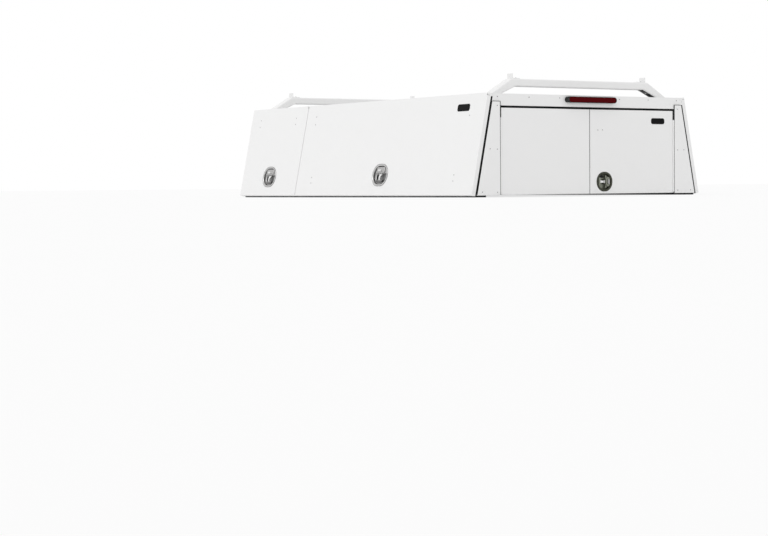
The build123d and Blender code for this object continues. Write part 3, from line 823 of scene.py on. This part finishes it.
def locks(steel, black):
    """Five locks: one on each side door and one on the right rear door."""
    # Lighter and darker copies of the stainless: the bright steel of the key covers and the grips'
    # stems is painted highlight, the bowl steel of the bowls, shelves and hubs and the bar steel of
    # the cross bars are painted shade, and so is the mottled sheet on the floor
    bright = stainless("highlight_steel", 0.80, 0.14)
    bowl = stainless("shaded_bowl_steel", 0.50, 0.34)
    bar = stainless("shaded_bar_steel", 0.26, 0.30)
    shade_mat = dull_steel("shade_mat_steel", grey(0.09), grey(0.34))
    finishes = (steel, bowl, shade_mat, black, bright, bright, bar)
    for end in DOOR_SPANS:
        for side in SIDES:
            face = door_face(side)
            spot = face.moved(SIDES[side] * door_middle(end), LOCK_HEIGHT)
            lock(f"{end}_side_door_{side}", spot, SIDE_LOCK, finishes)
    spot = Spot(rear_face(REAR_LOCK_X, REAR_LOCK_Z), (0, 0, -1), (1, 0, 0))
    # The rear lock takes darker copies of the steels, painted shade: its rim, bowl, sheet, cross
    # bar and key cover; its grip's stem keeps the bright steel, painted highlight
    rear_rim_shade = dull_steel("rear_rim_shade_steel", (0.045, 0.050, 0.035, 1), (0.085, 0.085, 0.065, 1))
    rear_shade = dull_steel("rear_shade_steel", (0.10, 0.11, 0.08, 1), (0.34, 0.35, 0.30, 1))
    rear_key_shade = stainless("rear_key_shade_steel", 0.40, 0.32)
    lock("rear_door_right", spot, REAR_LOCK, (rear_rim_shade, rear_shade, rear_shade, black, rear_key_shade, bright, rear_shade))


# Seal inside a side door's edge: width and thickness, distance from the edge, and corner
EDGE_SEAL = (0.009, 0.0025)
EDGE_SEAL_CLEAR = 0.001
EDGE_SEAL_CORNER = 0.004


def edge_seals(rubber):
    """Rubber trim round the inner edge of each side door."""
    width, thick = EDGE_SEAL
    height = (DOOR_TOP + DOOR_BOTTOM) / 2
    half_t = (DOOR_TOP - DOOR_BOTTOM) / 2 - EDGE_SEAL_CLEAR
    for end, (low, high) in DOOR_SPANS.items():
        half_y = (high - low) / 2 - EDGE_SEAL_CLEAR
        for side, k in SIDES.items():
            middle = door_face(side).moved(k * door_middle(end), height, DOOR_SEAT - DOOR_FACE)
            loops = []
            for inset, rise in ((0.0, 0.0), (0.0, -thick), (width, -thick), (width, 0.0)):
                ring = rounded_loop(half_y - inset, half_t - inset, EDGE_SEAL_CORNER, 3)
                loops.append([middle.at(x, y, rise) for x, y in ring])
            bm = bmesh.new()
            skin_loops(bm, loops, closed=True)
            door = f"{end}_side_door_{side}"
            finished(f"{door}_edge_seal", bm, rubber, door)


def lens(material):
    """Fluted lens with a crowned face in place of the plain one."""
    low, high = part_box("brake_light_lens")
    half_length, half_height = (high.x - low.x) / 2, (high.z - low.z) / 2
    depth = high.y - low.y
    columns, rows = LENS_GRID
    middle = Spot(((low.x + high.x) / 2, high.y, (low.z + high.z) / 2), (1, 0, 0), (0, 0, 1))
    bm = bmesh.new()
    grid = []
    for i in range(columns + 1):
        x = half_length * (2 * i / columns - 1)
        into_end = max(0.0, abs(x) - (half_length - half_height))
        half = max(math.sqrt(max(half_height ** 2 - into_end ** 2, 0.0)), LENS_END)
        ends = 1 - (into_end / half_height) ** 2
        flute = 0.5 + 0.5 * math.cos(2 * math.pi * x / LENS_FLUTE)
        line = []
        for j in range(rows + 1):
            share = 2 * j / rows - 1
            rise = depth - LENS_CROWN * (share ** 4 * 0.7 + (1 - ends) * 0.5) - LENS_INSET
            ripple = LENS_RIPPLE * flute * (1 - share ** 6) * ends
            line.append(bm.verts.new(middle.at(x, half * share, rise - ripple)))
        grid.append(line)
    for left, right in zip(grid, grid[1:]):
        for j in range(rows):
            bm.faces.new((left[j], right[j], right[j + 1], left[j + 1]))
    edge = [line[0] for line in grid] + grid[-1][1:-1]
    edge += [line[-1] for line in reversed(grid)] + list(reversed(grid[0][1:-1]))
    back = []
    for vert in edge:
        rise = (vert.co - middle.origin).dot(middle.out)
        back.append(bm.verts.new(vert.co - middle.out * rise))
    count = len(edge)
    for i in range(count):
        j = (i + 1) % count
        bm.faces.new((edge[j], edge[i], back[i], back[j]))
    bm.faces.new(back)
    name = "brake_light_lens_fluted"
    piece = finished(name, bm, material, "canopy_body", LENS_SMOOTH)
    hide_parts("brake_light_lens")


# Screw's head with its slot: radius and rise
SCREW = (
    (0.0046, -0.0006), (0.0050, 0.0002), (0.0042, 0.0008), (0.0034, 0.0003), (0.0028, -0.0003),
    (0.0008, -0.0002),
)


def lamp_screw(material):
    """Screw in the bare end of the lamp's housing."""
    low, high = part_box("brake_light_housing")
    x = (low.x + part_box("brake_light_lens")[0].x) / 2
    bm = bmesh.new()
    turned(bm, Spot((x, low.y, (low.z + high.z) / 2), (1, 0, 0), (0, 0, 1)), SCREW, 24)
    finished("brake_light_screw", bm, material, "canopy_body")


# A bolt's measures as shares of its width across the flats: washer, head and chamfer. The heads'
# places: half widths from the middle and half the pitch along the canopy, and the plates they hold.
WASHER_SHARE = {"Radius": 0.92, "Depth": 0.12}
HEAD_SHARE = {"Radius": 0.577, "Depth": 0.42}
CHAMFER_SHARE = {"Top": 0.86, "Depth": 0.07}
RACK_BOLTS_X = (0.583, 0.615)
RACK_BOLTS_Y = 0.016
FOOT_PLATE = 0.005
STOP_PLATE = 0.004
STOP_BOLT_X = 0.459


def bolt_tree():
    """Hexagon bolt on a washer at every point of a mesh."""
    tree = bpy.data.node_groups.new("hexagon_bolts", "GeometryNodeTree")
    face = tree.interface
    face.new_socket("Points", in_out="INPUT", socket_type="NodeSocketGeometry")
    across = face.new_socket("Across", in_out="INPUT", socket_type="NodeSocketFloat")
    across.default_value = BOLT_ACROSS
    face.new_socket("Finish", in_out="INPUT", socket_type="NodeSocketMaterial")
    face.new_socket("Bolts", in_out="OUTPUT", socket_type="NodeSocketGeometry")
    g = Graph(tree)
    given = g.node("NodeGroupInput")
    size = given.out("Across")
    washer_rise, head_rise = size * WASHER_SHARE["Depth"], size * HEAD_SHARE["Depth"]
    chamfer, radius = size * CHAMFER_SHARE["Depth"], size * HEAD_SHARE["Radius"]
    sockets = {"Vertices": 28, "Radius": size * WASHER_SHARE["Radius"], "Depth": washer_rise}
    washer = g.node("GeometryNodeMeshCylinder", {}, sockets)
    sockets = {"Vertices": 6, "Radius": radius, "Depth": head_rise}
    head = g.node("GeometryNodeMeshCylinder", {}, sockets)
    sockets = {"Radius Top": radius * CHAMFER_SHARE["Top"], "Radius Bottom": radius}
    top = g.node("GeometryNodeMeshCone", {}, {"Vertices": 6, **sockets, "Depth": chamfer})
    lifts = (washer_rise * 0.5, washer_rise + head_rise * 0.5, washer_rise + head_rise)
    raised = []
    for part, lift in zip((washer, head, top), lifts):
        shift = g.node("ShaderNodeCombineXYZ", {}, {"Z": lift})
        raised.append(g.node("GeometryNodeTransform", {}, {"Geometry": part, "Translation": shift}))
    joined = g.node("GeometryNodeJoinGeometry")
    for part in raised:
        tree.links.new(part.socket, joined.socket.node.inputs[0])
    sockets = {"Points": given.out("Points"), "Instance": joined, "Rotation": faced(g)}
    placed = g.node("GeometryNodeInstanceOnPoints", {}, sockets)
    real = g.node("GeometryNodeRealizeInstances", {}, {"Geometry": placed})
    sockets = {"Geometry": real, "Material": given.out("Finish")}
    g.node("NodeGroupOutput", {}, {"Bolts": g.node("GeometryNodeSetMaterial", {}, sockets)})
    return tree


def bolts(tree, rivets, steel):
    """Hexagon bolts through the racks' feet and button heads through the ladder stops."""
    above = Vector((0, 0, 1))
    for end in ("rear", "front"):
        low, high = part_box(f"rack_{end}")
        middle = (low.y + high.y) / 2
        feet = [
            (Vector((k * x, middle + m * RACK_BOLTS_Y, ROOF_Z + FOOT_PLATE)), above)
            for k in (-1, 1)
            for x in RACK_BOLTS_X
            for m in (-1, 1)
        ]
        grown(f"rack_{end}_foot_bolts", feet, tree, steel, "canopy_body")
        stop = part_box(f"ladder_stops_{end}")[0].z + STOP_PLATE
        heads = [
            (Vector((k * STOP_BOLT_X, middle + m * RACK_BOLTS_Y, stop)), above)
            for k in (-1, 1)
            for m in (-1, 1)
        ]
        name = f"rack_{end}_stop_bolts"
        grown(name, heads, rivets, steel, "canopy_body", STOP_SCREW)


# Badge from its back over its raised edge to its sunk face: inset and rise
BADGE_SHAPE = (
    (0.0, 0.0), (0.0, 0.0009), (0.0003, 0.0014), (0.0008, 0.0016), (0.0016, 0.0016),
    (0.0022, 0.0012), (0.0040, 0.0012),
)
BADGE_CORNER = 0.012


def badges(material):
    """Blank dark plates, one high on each rear side door and one on the right rear door."""
    spot = Spot(rear_face(*BADGE_REAR_AT), (1, 0, 0), (0, 0, 1))
    places = [("rear_badge", spot, BADGE_REAR, "rear_door_right")]
    for side in SIDES:
        face = door_face(side)
        spot = Spot(on_door(side, *BADGE_SIDE_AT), face.across, face.up)
        places.append((f"side_badge_{side}", spot, BADGE_SIDE, f"rear_side_door_{side}"))
    for name, spot, size, body in places:
        bm = bmesh.new()
        inset_rings(bm, spot, (*size, BADGE_CORNER), BADGE_SHAPE, 8)
        finished(name, bm, material, body)


# Black pieces in the rear frame's seams, painted shade of the gaps: half widths from the middle,
# heights over the base or up the slope, and how far each stands out of the rear face
JAMB_SKIN = (0.00015, 0.0014)
JAMB = (((0.003, 0.5217), (-0.0034, 0.014)), ((0.5217, 0.551), (0.0006, 0.014)))
COVER_LINES = (
    ((0.6361, 0.6393), (0.002, 0.4255), (0.0, 0.0027)),
    ((0.6361, 0.6393), (0.4255, 0.5136), (0.0, 0.0046)),
    ((0.6393, 0.6895), (0.5112, 0.5136), (0.0, 0.0042)),
    ((0.6292, 0.6358), (0.4256, 0.4895), (-0.020, -0.0005)),
)
# Rubber meeting seal between the rear doors, also placed to darken that gap as painted shade
MEETING_SEAL_SHADE = ((-0.0022, 0.0013), (0.0, 0.4765), (-0.020, -0.0042))
# White plates that close the rear ends of the side doors' hinge channels, and on the right the gap
# beside the header, where the photograph shows none: reach behind the rear face, height up the
# slope and rise
HINGE_ENDS = (
    ((0.0003, 0.0015), (0.5488, 0.5600), (0.0008, 0.0209)),
    ((0.0003, 0.0015), (0.5488, 0.5510), (0.0209, 0.0275)),
)
HEADER_END = ((0.0003, 0.0030), (0.5226, 0.5486), (0.0002, 0.0112))


def rear_seam_shades(rubber):
    """Black pieces that are painted shade in the seams: both posts' outer sides, the lines round
    the covers, and a meeting seal at the doors' middle.
    """
    back = Spot((0, REAR_Y, BASE_Z), (1, 0, 0), (0, 0, 1))
    for side, k in SIDES.items():
        bm = bmesh.new()
        face = door_face(side)
        jamb = Spot(face.at(0, 0, -DOOR_FACE), face.across, face.up)
        for heights, reach in JAMB:
            slab(bm, jamb, sorted(k * (REAR_Y + y) for y in reach), heights, JAMB_SKIN)
        for widths, heights, rises in COVER_LINES:
            slab(bm, back, sorted(k * x for x in widths), heights, rises)
        finished(f"rear_trim_{side}", bm, rubber, "canopy_body")
    bm = bmesh.new()
    slab(bm, back, *MEETING_SEAL_SHADE)
    finished("rear_door_meeting_seal_shade", bm, rubber, "rear_door_left")


def end_plates(paint):
    """Small white plates at the rear ends of the side doors' hinges and of the header."""
    bm = bmesh.new()
    for side, plates in (("left", HINGE_ENDS), ("right", HINGE_ENDS + (HEADER_END,))):
        face = door_face(side)
        flat = Spot(face.at(0, 0, -DOOR_FACE), face.across, face.up)
        for reach, heights, rises in plates:
            slab(bm, flat, sorted(SIDES[side] * (REAR_Y + y) for y in reach), heights, rises)
    finished("end_plates", bm, paint, "canopy_body")


# Underside of a rack's leg from its foot to the bend, the dark sheet and black block in its
# channel, which are painted shade, and how far up it the nut sits
LEG_FOOT = (0.564, 0.570)
LEG_BEND = (0.470, 0.611)
LEG_SHADE_SHEET = ((-0.024, 0.024), (0.004, 0.094), (-0.0044, -0.0033))
LEG_SHADE_BLOCK = ((-0.0212, 0.0212), (0.001, 0.030), (-0.0034, -0.0006))
LEG_NUT = ((0.0070, -0.0034), (0.0070, -0.0006), (0.0064, 0.0), (0.0040, 0.0), (0.0036, -0.0006))
LEG_NUT_SHARE = 0.56


def leg_shade_sheets(shade, black, bright):
    """Dark sheet and black end block in the open underside of each rack leg, painted shade of its
    channel, and a bright nut.
    """
    kinds = {
        "shade_sheets": (shade, "lamp_black"),
        "shade_blocks": (black, "seal_rubber"),
        "nuts": (bright, "stainless"),
    }
    for end in ("rear", "front"):
        low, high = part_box(f"rack_{end}")
        meshes = {name: bmesh.new() for name in kinds}
        for k in (-1, 1):
            foot = Vector((k * LEG_FOOT[0], (low.y + high.y) / 2, LEG_FOOT[1]))
            bend = Vector((k * LEG_BEND[0], foot.y, LEG_BEND[1]))
            leg = Spot(foot, (0, -k, 0), bend - foot)
            slab(meshes["shade_sheets"], leg, *LEG_SHADE_SHEET)
            slab(meshes["shade_blocks"], leg, *LEG_SHADE_BLOCK)
            nut = leg.moved(0, (bend - foot).length * LEG_NUT_SHARE)
            turned(meshes["nuts"], nut, LEG_NUT, 6)
        for name, (finish, slot) in kinds.items():
            finished(f"rack_{end}_{name}", meshes[name], finish, "canopy_body")


def camera():
    """The photograph's view, solved from the canopy's straight edges."""
    yaw, pitch, roll = (math.radians(v) for v in (CAMERA_YAW, CAMERA_PITCH, CAMERA_ROLL))
    ahead = Vector(
        (math.sin(yaw) * math.cos(pitch), math.cos(yaw) * math.cos(pitch), math.sin(pitch))
    )
    level = Vector((math.cos(yaw), -math.sin(yaw), 0))
    above = level.cross(ahead)
    across = level * math.cos(roll) + above * math.sin(roll)
    up = above * math.cos(roll) - level * math.sin(roll)
    data = bpy.data.cameras.new("photo_camera")
    data.sensor_width = SENSOR
    data.lens = FOCAL_PIXELS * SENSOR / IMAGE_WIDTH
    eye = bpy.data.objects.new("photo_camera", data)
    axes = Matrix((across, up, -ahead)).transposed().to_4x4()
    eye.matrix_world = Matrix.Translation(CAMERA_SPOT) @ axes
    bpy.context.collection.objects.link(eye)
    bpy.context.scene.camera = eye


def studio():
    """Pale floor, even white surroundings and one soft key light from the left."""
    scene = bpy.context.scene
    scene.view_settings.view_transform = "Standard"
    world = bpy.data.worlds.new("white_room")
    world.use_nodes = True
    scene.world = world
    g = Graph(world.node_tree)
    g.tree.nodes.clear()
    ray = g.node("ShaderNodeLightPath")
    seen = ray.out("Is Camera Ray").most(ray.out("Is Glossy Ray"))
    seen = seen.most(ray.out("Is Transmission Ray"))
    light = g.node("ShaderNodeBackground", {}, {"Color": (1, 1, 1, 1), "Strength": ROOM_LIGHT})
    white = g.node("ShaderNodeBackground", {}, {"Color": (1, 1, 1, 1), "Strength": 1.0})
    both = g.node("ShaderNodeMixShader", {}, {0: seen, 1: light, 2: white})
    g.node("ShaderNodeOutputWorld", {}, {"Surface": both})

    floor_mesh = bpy.data.meshes.new("floor")
    r = FLOOR_REACH
    floor_mesh.from_pydata([(-r, -r, 0), (r, -r, 0), (r, r, 0), (-r, r, 0)], [], [(0, 1, 2, 3)])
    floor = bpy.data.objects.new("floor", floor_mesh)
    bpy.context.collection.objects.link(floor)
    pale = Finish("pale_floor")
    cloud = pale.noise(1.5, 2.0, 0.5)
    pale.close(Base_Color=pale.mix(cloud, grey(0.90), grey(0.88)), Roughness=0.85)
    floor_mesh.materials.append(pale.material)
    shown = pale.node("ShaderNodeLightPath")
    seen_floor = shown.out("Is Camera Ray").most(shown.out("Is Glossy Ray"))
    plain = pale.node("ShaderNodeEmission", {}, {"Color": (1, 1, 1, 1), "Strength": 1.0})
    surface = pale.tree.nodes["Material Output"].inputs["Surface"]
    mixed = {0: seen_floor * FLOOR_WHITE, 1: Wire(pale, surface.links[0].from_socket), 2: plain}
    pale.tree.links.new(pale.node("ShaderNodeMixShader", {}, mixed).socket, surface)

    key = bpy.data.lights.new("key", "SUN")
    key.energy = KEY_LIGHT
    key.angle = math.radians(KEY_ANGLE)
    lamp = bpy.data.objects.new("key", key)
    lamp.rotation_euler = Vector(KEY_FROM).to_track_quat("Z", "Y").to_euler()
    bpy.context.collection.objects.link(lamp)


camera()
studio()
white = powder_coat("white_paint", 0.84)
materials = {
    "white_paint": white,
    "rack_paint": powder_coat("rack_paint", 0.83),
    "seal_rubber": seal_rubber("seal_rubber"),
    "stainless": stainless("stainless"),
    "lamp_black": dark_plastic("lamp_black"),
    "lamp_red": lamp_lens("lamp_red"),
}
dress(materials)
steel = materials["stainless"]
rubber = materials["seal_rubber"]
rivets = rivet_tree()
# Dark steel for the lamp's screw, and for the rivets' mandrel ends, where its darkness is painted
# shade of the holes
dark = dull_steel("dark_steel", grey(0.07), grey(0.16))
rivet_rows(rivets, white, dark)
bolts(bolt_tree(), rivets, steel)
locks(steel, rubber)
edge_seals(rubber)
rear_seam_shades(rubber)
end_plates(white)
lens(materials["lamp_red"])
lamp_screw(dark)
leg_shade_sheets(dark_plastic("leg_shade", 0.030, 0.5), rubber, steel)
badges(dark_plastic("badge_black", 0.004, 0.30, 0.06))
